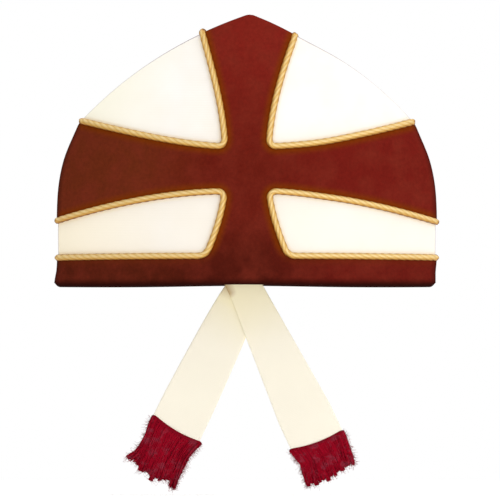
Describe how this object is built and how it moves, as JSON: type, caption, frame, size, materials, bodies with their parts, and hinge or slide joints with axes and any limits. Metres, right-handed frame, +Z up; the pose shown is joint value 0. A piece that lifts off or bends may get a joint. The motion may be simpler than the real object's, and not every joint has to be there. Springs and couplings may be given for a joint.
{
  "type": "bishop mitre",
  "caption": "Low pointed mitre of stiff cream cloth with a red cross and rim band, gold cord along the cross and crossed fringed lappets hanging from the back of the rim.",
  "frame": {"origin": "middle of the head opening, in the plane of the rim", "axes": "+X to the right as seen from the front, +Y to the back, where the lappets hang, +Z up to the tips of the horns"},
  "size_m": [0.2798, 0.102, 0.3417],
  "materials": {
    "cream_cloth": "smooth cream satin over a stiff backing",
    "red_cloth": "dark red cloth with a soft nap",
    "gold_cord": "twisted gold cord",
    "crimson_fringe": "crimson thread"
  },
  "bodies": {
    "root": {"front_panel": "cream_cloth", "back_panel": "cream_cloth", "front_cross": "red_cloth", "back_cross": "red_cloth", "front_cord_upper_left": "gold_cord", "front_cord_upper_right": "gold_cord", "front_cord_lower_left": "gold_cord", "front_cord_lower_right": "gold_cord", "back_cord_upper_left": "gold_cord", "back_cord_upper_right": "gold_cord", "back_cord_lower_left": "gold_cord", "back_cord_lower_right": "gold_cord", "crown_gusset": "red_cloth", "lappet_left": "cream_cloth", "lappet_right": "cream_cloth", "fringe_left": "crimson_fringe", "fringe_right": "crimson_fringe"}
  },
  "joints": []
}
